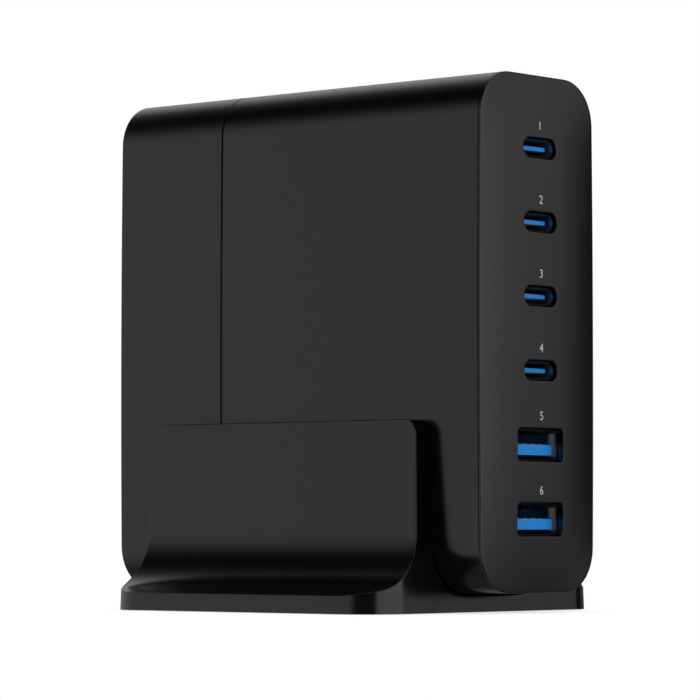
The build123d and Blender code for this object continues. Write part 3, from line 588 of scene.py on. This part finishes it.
def stand_grids(s, t):
    """A quarter of the cradle, mirrored: top skin, edge round, wall end, outside curtain and underside.

    The top skin is the profile carried along Y to just short of the plan's outline. The edge round turns down by a
    quarter circle. The wall end is ruled between the wall's two faces. The curtain hangs from there and from the rest
    of the edge along the drafted outline to the underside.
    """
    path, out, edge, (first, steps, bend, flat, last) = stand_path(s, t)
    corner_x, corner_y = t.width / 2 - t.corner, t.length / 2 - t.corner
    share = np.sin(np.linspace(-np.pi / 2, 0, 25))
    x, z = path.T
    ends = half_length(t, x, z, edge)
    ends[-1] = corner_y
    skin = stack(x[:, None], ends[:, None] * share, z[:, None])

    def outline(x, z, inset):
        """Points on the drafted outline: the front columns, then the side's columns at the skin's own depths."""
        y = -half_length(t, x, z, inset)
        y[-1] = -corner_y
        side = corner_x + t.corner - draft(t, z[-1]) - inset[-1] + 0 * share[1:]
        return stack(np.append(x, side), np.append(y, corner_y * share[1:]), np.append(z, z[-1] + 0 * share[1:]))

    def along(x, z, sine, inset):
        """Keep points beyond the corner's middle on their own ray of the corner."""
        return np.where(sine > 0, corner_x + (t.corner - draft(t, z) - inset) * sine, x)

    sine = np.clip((x - corner_x) / (t.corner - draft(t, z) - edge), 0, 1)
    within = 1 - np.clip((x - corner_x) / (x[-1] - corner_x), 0, 1)
    band = []
    for a in np.linspace(0, np.pi / 2, 6):
        inset, sunk = edge * (1 - np.sin(a)), edge * (1 - np.cos(a))
        low_z = z - sunk * out[:, 1]
        low_x = along(x, low_z, sine, inset) - sunk * out[:, 0] * within
        band.append(outline(low_x, low_z, inset))
    band = np.array(band)
    rim = band[-1]
    inner = rim[first:first + steps]
    outer = rim[last:last + steps][::-1]
    roof = rim[first + steps + bend:][:flat]
    part = np.concatenate([[0.0], (roof[:, 0] - inner[-1, 0]) / (outer[-1, 0] - inner[-1, 0]), [1.0]])
    wall_x = inner[:, None, 0] + part * (outer[:, None, 0] - inner[:, None, 0])
    wall_z = inner[:, None, 2] + part * (outer[:, None, 2] - inner[:, None, 2])
    wall_z[-1, 1:-1] = roof[:, 2]
    wall = stack(wall_x, -half_length(t, wall_x, wall_z), wall_z)
    rest = slice(last + steps, len(path))
    top_x = np.concatenate([rim[:first, 0], wall_x[0], rim[rest, 0]])
    top_z = np.concatenate([rim[:first, 2], wall_z[0], rim[rest, 2]])
    sine = np.clip((top_x - corner_x) / (t.corner - draft(t, top_z)), 0, 1)
    rows = [t.bottom + a * (top_z - t.bottom) for a in np.linspace(1, 0, 9)]
    curtain = np.array([outline(along(top_x, row, sine, 0.0), row, 0 * row) for row in rows])
    foot = curtain[-1][:len(top_x)]
    under = stack(foot[:, None, 0], -foot[:, None, 1] * share, t.bottom)
    quarter = [skin, band, wall, curtain, under]
    return [(grid * [i, j, 1], False) for grid in quarter for i in (1, -1) for j in (1, -1)]


def under_cuts(s, t):
    """Prisms to cut from the underside: the pockets under the walls and the seats of the feet."""
    pocket = (t.pocket_width, t.pocket_length, t.pocket_corner)
    seat = (2 * t.foot, 2 * t.foot, t.foot)
    step = t.pocket_length + t.pocket_rib
    places = []
    for side in (-1, 1):
        across = side * (s.width / 2 + t.pocket_inset)
        places += [((across, step * (i - (t.pocket_count - 1) / 2)), pocket, t.pocket_depth)
                   for i in range(t.pocket_count)]
        places += [((side * (t.width / 2 - t.foot_inset), end * (t.length / 2 - t.foot_inset)), seat, t.foot_seat)
                   for end in (-1, 1)]
    rays = turn(np.linspace(0, 2 * np.pi, 65)[:-1])
    points, faces, count = [], [], 0
    for middle, size, depth in places:
        rim = middle + slot_rim(rays, *size)
        for z in (t.bottom - MM, t.bottom + depth):
            points.append(stack(rim[:, 0], rim[:, 1], z))
        ring = np.arange(len(rays)) + count
        faces += [ring[::-1].tolist(), (ring + len(rays)).tolist()]
        faces += (grid_faces(2, len(rays), True) + count).tolist()
        count += 2 * len(rays)
    return np.concatenate(points), faces


def cut(piece, points, faces, crease):
    """Cut prisms out of a piece and keep its finish and its creases."""
    mesh = bpy.data.meshes.new("cutter")
    mesh.from_pydata(points, [], faces)
    cutter = bpy.data.objects.new("cutter", mesh)
    bpy.context.scene.collection.objects.link(cutter)
    change = piece.modifiers.new("cut", "BOOLEAN")
    change.operation, change.solver, change.object = "DIFFERENCE", "EXACT", cutter
    before = piece.data
    made = bpy.data.meshes.new_from_object(piece.evaluated_get(bpy.context.evaluated_depsgraph_get()))
    work = bmesh.new()
    work.from_mesh(made)
    loose, left = open_edges(work), work.calc_volume()
    work.free()
    if loose or left <= 0:
        raise RuntimeError(f"{piece.name} has {loose} open edges and a volume of {left} after its cut")
    piece.modifiers.clear()
    piece.data = made
    made.name = before.name
    smooth(made, crease)
    bpy.data.objects.remove(cutter)
    bpy.data.meshes.remove(mesh)
    bpy.data.meshes.remove(before)


# Finishes


def node(tree, kind, settings=None, links=None):
    """Add a node: settings go to its properties or inputs, links join its inputs to other nodes' outputs."""
    made = tree.nodes.new(kind)
    for key, value in (settings or {}).items():
        if isinstance(key, str) and hasattr(made, key):
            setattr(made, key, value)
        else:
            made.inputs[key].default_value = value
    for key, socket in (links or {}).items():
        tree.links.new(socket, made.inputs[key])
    return made


def finish(name, base, roughness, metallic=0.0, ior=1.5):
    """A new material with its constants on the shader; returns the material, its tree and its shader."""
    made = bpy.data.materials.new(name)
    made.use_nodes = True
    shader = made.node_tree.nodes["Principled BSDF"]
    shader.inputs["Base Color"].default_value = (*base, 1.0)
    shader.inputs["Roughness"].default_value = roughness
    shader.inputs["Metallic"].default_value = metallic
    if not metallic:
        shader.inputs["IOR"].default_value = ior
    made.diffuse_color = (*base, 1.0)
    return made, made.node_tree, shader


def grained(name, base, roughness, grain_mm, depth_mm, cloud_mm, spread, metallic=0.0, ior=1.5):
    """A finish with a fine grain as bump and a broad, faint unevenness in its gloss."""
    made, tree, shader = finish(name, base, roughness, metallic, ior)
    place = node(tree, "ShaderNodeTexCoord").outputs["Object"]
    cloud = node(tree, "ShaderNodeTexNoise", {"Scale": 1 / (cloud_mm * MM), "Detail": 3.0}, {"Vector": place})
    gloss = node(tree, "ShaderNodeMapRange", {"To Min": roughness - spread, "To Max": roughness + spread},
                 {"Value": cloud.outputs["Fac"]})
    tree.links.new(gloss.outputs["Result"], shader.inputs["Roughness"])
    grain = node(tree, "ShaderNodeTexNoise", {"Scale": 1 / (grain_mm * MM), "Detail": 2.0}, {"Vector": place})
    bump = node(tree, "ShaderNodeBump", {"Strength": 0.5, "Distance": depth_mm * MM}, {"Height": grain.outputs["Fac"]})
    tree.links.new(bump.outputs["Normal"], shader.inputs["Normal"])
    return made


def black_plastic(name, s, depth_mm):
    """Satin black resin. The real grain of about 0.05 mm is too fine to show and is drawn at 0.3 mm."""
    return grained(name, s.colours.plastic, 0.2, 0.3, depth_mm, 14.0, 0.02, ior=PLASTIC_IOR)


def coat_nodes(finish_made, *names):
    """Give CAD nodes a finish."""
    for name in names:
        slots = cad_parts[name].data.materials
        slots.clear()
        slots.append(finish_made)


# Operators


class CHARGER_OT_housing(bpy.types.Operator):
    """Build the sleeve and the rear cover"""

    bl_idname = "charger.housing"
    bl_label = "Housing"

    def execute(self, context):
        s = context.scene.charger
        # Polycarbonate from a spark-eroded mould: near black, an even satin sheen.
        plastic = black_plastic("moulded_satin_polycarbonate", s, 0.004)
        moulding("housing_sleeve", [(sleeve_grid(s.housing), True)], CREASE, plastic, "housing_plastic", "main_shell")
        moulding("housing_rear_cover", [(cover_grid(s.housing), True)], CREASE, plastic, "housing_plastic",
                 "rear_cover")
        return {"FINISHED"}


class CHARGER_OT_panel(bpy.types.Operator):
    """Build the socket panel and its printed numbers"""

    bl_idname = "charger.panel"
    bl_label = "Socket panel"

    def execute(self, context):
        s = context.scene.charger
        # The same resin from a smoother mould: a slightly tighter sheen.
        plastic = black_plastic("moulded_smooth_polycarbonate", s, 0.003)
        moulding("socket_panel", panel_grids(s.housing, s.panel), CREASE, plastic, "panel_plastic", "front_panel")
        self.print_numbers(s)
        return {"FINISHED"}

    def print_numbers(self, s):
        """Plain numbers 1 to 6 over the openings, laid on the pillow as a thin layer of ink."""
        p = s.panel
        points, faces, count = [], [], 0
        for i, height in enumerate(port_heights()):
            text = bpy.data.curves.new("number", "FONT")
            text.body = str(i + 1)
            text.size = p.number_height / CAPITAL_SHARE
            text.extrude = 0.5
            text.resolution_u = 6
            made = bpy.data.objects.new("number", text)
            mesh = bpy.data.meshes.new_from_object(made)
            flat = np.empty(len(mesh.vertices) * 3)
            mesh.vertices.foreach_get("co", flat)
            flat = flat.reshape(-1, 3)
            middle = (flat[:, :2].min(0) + flat[:, :2].max(0)) / 2
            x, up = (flat[:, :2] - middle).T
            z = height + (p.number_gap_c if i < 4 else p.number_gap_a) + up - s.housing.middle
            y = pillow(s.housing, p, x, z) - np.where(flat[:, 2] > 0, p.ink, -p.ink)
            points.append(stack(x, y, s.housing.middle + z))
            faces += [[v + count for v in polygon.vertices] for polygon in mesh.polygons]
            count += len(flat)
            bpy.data.objects.remove(made)
            bpy.data.curves.remove(text)
            bpy.data.meshes.remove(mesh)
        mesh = bpy.data.meshes.new("port_numbers")
        mesh.from_pydata(np.concatenate(points), [], faces)
        work = bmesh.new()
        work.from_mesh(mesh)
        bmesh.ops.remove_doubles(work, verts=work.verts, dist=WELD / 2)
        bmesh.ops.recalc_face_normals(work, faces=work.faces)
        work.to_mesh(mesh)
        work.free()
        # Pad-printing ink: a thin, even, slightly chalky grey.
        add_piece("port_numbers", mesh, grained("pad_printed_ink", s.colours.ink, 0.55, 0.12, 0.004, 1.0, 0.06))


class CHARGER_OT_stand(bpy.types.Operator):
    """Build the cradle and finish its feet"""

    bl_idname = "charger.stand"
    bl_label = "Cradle"

    def execute(self, context):
        s = context.scene.charger
        # Polycarbonate blend from a spark-eroded mould: near black, the sheen as on the housing.
        plastic = black_plastic("moulded_satin_polycarbonate_blend", s, 0.004)
        cradle = moulding("cradle", stand_grids(s.housing, s.stand), CREASE, plastic, "stand_plastic", "stand")
        cut(cradle, *under_cuts(s.housing, s.stand), CREASE)
        # Silicone rubber: charcoal and dull, with a faint dusty bloom.
        coat_nodes(grained("moulded_silicone_rubber", linear("#1b1b1c"), 0.7, 0.2, 0.02, 2.0, 0.08), "stand_feet")
        return {"FINISHED"}


class CHARGER_OT_sockets(bpy.types.Operator):
    """Finish the sockets and the mains inlet"""

    bl_idname = "charger.sockets"
    bl_label = "Sockets"

    def execute(self, context):
        s = context.scene.charger
        names = sorted(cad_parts)
        # Drawn steel under nickel: a soft grey mirror inside. Its faces that look forward (-Y), the sleeves' front
        # edges, take the dark lip colour as painted shade, so they show no bright rim.
        steel = grained("nickel_steel_with_painted_shade_edges", s.colours.steel, 0.42, 0.25, 0.002, 2.0, 0.06, 1.0)
        tree = steel.node_tree
        # Painted shade mask: faces whose normal points forward (-Y) fade from the steel colour to the dark lip colour.
        facing = node(tree, "ShaderNodeSeparateXYZ", {}, {0: node(tree, "ShaderNodeTexCoord").outputs["Normal"]})
        front = node(tree, "ShaderNodeMapRange", {"From Min": -0.4, "From Max": -0.8}, {"Value": facing.outputs["Y"]})
        tone = node(tree, "ShaderNodeMix", {"data_type": "RGBA", 6: (*s.colours.steel, 1.0), 7: (*s.colours.lip, 1.0)},
                    {0: front.outputs["Result"]})
        tree.links.new(tone.outputs[2], tree.nodes["Principled BSDF"].inputs["Base Color"])
        coat_nodes(steel, *(n for n in names if "_shell_" in n))
        # Glass-filled nylon: a strong blue with a faint mottle of fibres.
        tongue = grained("moulded_blue_nylon", s.colours.tongue, 0.35, 0.15, 0.006, 1.5, 0.06)
        coat_nodes(tongue, *(n for n in names if "_tongue_" in n))
        # Spring leaf: the same nickel with its colour a shade darker all over, painted shade for the dimmer light on
        # the springs inside the socket.
        leaf = grained("spring_steel_painted_shade", linear("#8f9194"), 0.36, 0.12, 0.002, 0.8, 0.08, 1.0)
        springs = [(spring_grid(s.spring, name, side), True) for name in PORTS[4:] for side in (-1, 1)]
        moulding("usb_a_side_springs", springs, SPRING_CREASE, leaf, "socket_steel")
        # Gold flash over stamped copper: a thin warm gleam along each contact.
        gold = grained("gold_flashed_copper", linear("#d9a94a"), 0.25, 0.1, 0.001, 0.8, 0.05, 1.0)
        coat_nodes(gold, "usb_c_contacts", "usb_a_contacts")
        # Flame-retardant nylon: black and flatter than the housing round it.
        coat_nodes(grained("moulded_inlet_nylon", s.colours.plastic, 0.42, 0.25, 0.005, 4.0, 0.04), "ac_inlet")
        # Nickel over turned brass: a bright pin with a warm cast.
        nickel = grained("turned_nickel_plated_brass", linear("#c9c4ba"), 0.22, 0.15, 0.001, 1.0, 0.05, 1.0)
        coat_nodes(nickel, "ac_pin_line", "ac_pin_neutral")
        return {"FINISHED"}


class CHARGER_OT_electronics(bpy.types.Operator):
    """Finish the parts inside the housing"""

    bl_idname = "charger.electronics"
    bl_label = "Electronics"

    # Name, colour, roughness, grain, its depth and cloud in mm, spread of gloss, metallic, how its nodes start or end
    finishes = (
        # Glass laminate under solder mask: a glossy green with the weave just felt.
        ("solder_masked_laminate", "#1f6b3a", 0.4, 0.6, 0.01, 6.0, 0.05, 0.0, "_board"),
        # Moulding compound: charcoal and matt, as fine sandpaper.
        ("transfer_moulded_epoxy", "#242527", 0.55, 0.2, 0.01, 2.0, 0.05, 0.0, "port_controller", "bridge_", "_switch"),
        # Wire sleeving: black, waxy and smooth along its length.
        ("extruded_wire_sleeving", "#202022", 0.5, 0.4, 0.01, 3.0, 0.05, 0.0, "ac_lead"),
        # Fuse case: dark grey with a plain moulded sheen.
        ("moulded_fuse_case", "#3a3a3d", 0.45, 0.3, 0.01, 3.0, 0.05, 0.0, "line_fuse"),
        # Dipped epoxy: a glossy blue skin with slow ripples.
        ("dipped_blue_epoxy", "#3f61b3", 0.3, 0.5, 0.02, 3.0, 0.05, 0.0, "varistor"),
        # Film capacitor's case: mustard yellow, half gloss.
        ("moulded_yellow_polyester", "#c9ae3a", 0.4, 0.3, 0.01, 4.0, 0.05, 0.0, "x_capacitor"),
        # Ferrite: a dark, dry grey with the grain of fired clay.
        ("sintered_ferrite", "#39393b", 0.6, 0.15, 0.01, 3.0, 0.08, 0.0, "_core"),
        # Enamelled wire: warm copper through clear varnish, ridged by its turns.
        ("enamelled_copper_wire", "#b8683a", 0.3, 0.5, 0.05, 2.0, 0.05, 1.0, "_coil", "_coils"),
        # Heat pad: a soft, chalky grey-blue.
        ("soft_silicone_pad", "#9aa7b4", 0.8, 0.2, 0.02, 2.0, 0.05, 0.0, "_pad"),
        # Rolled aluminium: pale, with a brushed and uneven gleam.
        ("rolled_aluminium_sheet", "#d3d5d8", 0.35, 0.4, 0.003, 6.0, 0.06, 1.0, "heat_spreader"),
        # Insulating film: a glossy amber skin.
        ("amber_polyester_film", "#d2b36a", 0.25, 0.5, 0.003, 8.0, 0.05, 0.0, "insulating_film"),
        # Shrink sleeve on an aluminium can: grey and satin, drawn tight.
        ("sleeved_aluminium_can", "#55585c", 0.4, 0.3, 0.006, 3.0, 0.05, 0.0, "bulk_capacitor", "output_capacitor"),
        # Pressed iron powder: mid grey and stony.
        ("pressed_metal_powder", "#6a6b6e", 0.65, 0.12, 0.02, 2.0, 0.08, 0.0, "output_inductor"),
    )

    def execute(self, context):
        for name, code, *values in self.finishes:
            numbers, words = values[:6], tuple(values[6:])
            coat_nodes(grained(name, linear(code), *numbers),
                       *(n for n in sorted(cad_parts) if n.startswith(words) or n.endswith(words)))
        return {"FINISHED"}


class CHARGER_OT_stage(bpy.types.Operator):
    """Set up the floor, the light and the camera"""

    bl_idname = "charger.stage"
    bl_label = "Studio"

    def execute(self, context):
        s = context.scene.charger.studio
        context.scene.view_settings.view_transform = "Standard"
        self.floor()
        self.surround(context.scene, s)
        lamp = bpy.data.lights.new("soft_fill", "AREA")
        lamp.energy = s.fill
        lamp.size = LAMP_SIZE
        fill = bpy.data.objects.new("soft_fill", lamp)
        fill.matrix_world = Matrix.Translation(LAMP_PLACE) @ self.aim(LAMP_AIM)
        fill.visible_glossy = False
        context.scene.collection.objects.link(fill)
        camera = bpy.data.cameras.new("camera")
        camera.lens = s.lens
        camera.sensor_width = SENSOR_MM
        camera.clip_start, camera.clip_end = 0.01, 50.0
        view = bpy.data.objects.new("camera", camera)
        forward = (np.sin(s.yaw) * np.cos(s.pitch), np.cos(s.yaw) * np.cos(s.pitch), np.sin(s.pitch))
        view.matrix_world = Matrix.Translation(s.place) @ self.aim(forward)
        context.scene.collection.objects.link(view)
        context.scene.camera = view
        return {"FINISHED"}

    def aim(self, forward):
        """Turn that points a lamp or camera along a direction, kept level."""
        forward = np.array(forward) / np.linalg.norm(forward)
        right = np.cross(forward, (0.0, 0.0, 1.0))
        right = right / np.linalg.norm(right)
        return Matrix(np.stack([right, np.cross(right, forward), -forward], 1).tolist()).to_4x4()

    def floor(self):
        """A pale round table, white to the camera, with the shade of what stands on it."""
        a = np.linspace(0, 2 * np.pi, TABLE_SIDES + 1)[:-1]
        r = np.array(TABLE_RADII)[:, None]
        points = stack(r * np.cos(a), r * np.sin(a), 0.0)
        mesh = bpy.data.meshes.new("table")
        mesh.from_pydata(points.reshape(-1, 3), [], grid_faces(len(TABLE_RADII), TABLE_SIDES, True)[:, ::-1])
        made, tree, shader = finish("white_laminate_table", linear("#cfcfcf"), 0.8)
        seen = node(tree, "ShaderNodeLightPath")
        shown = node(tree, "ShaderNodeMath", {"operation": "MAXIMUM"},
                     {0: seen.outputs["Is Camera Ray"], 1: seen.outputs["Is Transmission Ray"]})
        shade = node(tree, "ShaderNodeAmbientOcclusion", {"samples": 16, "Distance": SHADE_REACH})
        tone = node(tree, "ShaderNodeMapRange", {"From Max": SHADE_CLEAR, "To Min": SHADE_DARKEST},
                    {"Value": shade.outputs["AO"]})
        white = node(tree, "ShaderNodeEmission", {"Strength": 1.0}, {"Color": tone.outputs["Result"]})
        mix = node(tree, "ShaderNodeMixShader", {}, {0: shown.outputs[0], 1: shader.outputs["BSDF"],
                                                     2: white.outputs["Emission"]})
        tree.links.new(mix.outputs["Shader"], tree.nodes["Material Output"].inputs["Surface"])
        mesh.materials.append(made)
        table = bpy.data.objects.new("table", mesh)
        table.visible_glossy = False
        bpy.context.scene.collection.objects.link(table)

    def surround(self, scene, s):
        """White to the camera; in gloss the same white, behind dark flags that leave a few windows; plain light else.

        The turn is measured from -X towards -Y, as a share of a full turn from -180 degrees.
        """
        world = bpy.data.worlds.new("studio")
        world.use_nodes = True
        scene.world = world
        tree = world.node_tree
        way = node(tree, "ShaderNodeTexCoord").outputs["Generated"]
        axes = node(tree, "ShaderNodeSeparateXYZ", {}, {"Vector": way})
        minus = [node(tree, "ShaderNodeMath", {"operation": "MULTIPLY", 1: -1.0}, {0: axes.outputs[axis]}).outputs[0]
                 for axis in "YX"]
        bearing = node(tree, "ShaderNodeMath", {"operation": "ARCTAN2"}, dict(enumerate(minus)))
        share = node(tree, "ShaderNodeMapRange", {"From Min": -np.pi, "From Max": np.pi},
                     {"Value": bearing.outputs[0]})
        rise = node(tree, "ShaderNodeMath", {"operation": "ARCSINE"}, {0: axes.outputs["Z"]})
        height = node(tree, "ShaderNodeMapRange", {"From Min": -np.pi / 2, "From Max": np.pi / 2},
                      {"Value": rise.outputs[0]})
        turned, raised = share.outputs["Result"], height.outputs["Result"]
        passed = None
        for window in ((s.side_window, SIDE_TURN, SIDE_RISE), (s.front_window, FRONT_TURN, FRONT_RISE),
                       (s.rear_window, REAR_TURN, REAR_RISE), (s.far_window, FAR_TURN, FAR_RISE),
                       (s.soft_window, SOFT_TURN, SOFT_RISE)):
            passed = self.window(tree, turned, raised, passed, *window)
        seen = node(tree, "ShaderNodeLightPath")
        clear = node(tree, "ShaderNodeMath", {"operation": "MAXIMUM"},
                     {0: seen.outputs["Is Camera Ray"], 1: seen.outputs["Is Transmission Ray"]})
        plain = node(tree, "ShaderNodeMix", {2: s.ambient}, {0: seen.outputs["Is Glossy Ray"], 3: passed})
        level = node(tree, "ShaderNodeMath", {"operation": "MAXIMUM"}, {0: plain.outputs[0], 1: clear.outputs[0]})
        tree.links.new(level.outputs[0], tree.nodes["Background"].inputs["Strength"])
        tree.nodes["Background"].inputs["Color"].default_value = (1.0, 1.0, 1.0, 1.0)

    def window(self, tree, turned, raised, passed, level, around, upward):
        """Add the white that one window lets through, by turn, height and level, to what has passed already."""
        both = node(tree, "ShaderNodeMath", {"operation": "MULTIPLY"},
                    {0: self.ramp(tree, turned, 360, around), 1: self.ramp(tree, raised, 180, upward)})
        made = node(tree, "ShaderNodeMath", {"operation": "MULTIPLY_ADD", "use_clamp": True, 1: level, 2: 0.0},
                    {0: both.outputs[0]})
        if passed:
            tree.links.new(passed, made.inputs[2])
        return made.outputs[0]

    def ramp(self, tree, value, span, stops):
        """Brightness along a scale of degrees centred on 0."""
        made = node(tree, "ShaderNodeValToRGB", {}, {"Fac": value})
        band = made.color_ramp
        while len(band.elements) < len(stops):
            band.elements.new(0.5)
        for element, (degrees, level) in zip(band.elements, stops):
            element.position = degrees / span + 0.5
            element.color = (level, level, level, 1.0)
        return made.outputs["Color"]


class CHARGER_PT_panel(bpy.types.Panel):
    """Lists what can be built"""

    bl_idname = "CHARGER_PT_panel"
    bl_label = "Charger"
    bl_space_type = "VIEW_3D"
    bl_region_type = "UI"
    bl_category = "Charger"

    def draw(self, context):
        for operator in OPERATORS:
            self.layout.operator(operator.bl_idname)
        for group in ("housing", "panel", "spring", "stand", "colours", "studio"):
            box = self.layout.box()
            box.label(text=group.capitalize())
            settings = getattr(context.scene.charger, group)
            for name in settings.__annotations__:
                box.prop(settings, name)


GROUPS = (HousingSizes, PanelSizes, SpringSizes, StandSizes, FinishColours, StudioSettings, ChargerSettings)
OPERATORS = (CHARGER_OT_housing, CHARGER_OT_panel, CHARGER_OT_stand, CHARGER_OT_sockets, CHARGER_OT_electronics,
             CHARGER_OT_stage)


def register():
    """Make the settings, operators and panel known."""
    for kind in (*GROUPS, *OPERATORS, CHARGER_PT_panel):
        bpy.utils.register_class(kind)
    bpy.types.Scene.charger = PointerProperty(type=ChargerSettings)


def unregister():
    """Take them away again."""
    del bpy.types.Scene.charger
    for kind in reversed((*GROUPS, *OPERATORS, CHARGER_PT_panel)):
        bpy.utils.unregister_class(kind)


def main():
    """Build everything in order."""
    register()
    bpy.ops.charger.housing()
    bpy.ops.charger.panel()
    bpy.ops.charger.stand()
    bpy.ops.charger.sockets()
    bpy.ops.charger.electronics()
    bpy.ops.charger.stage()


if __name__ == "__main__":
    main()
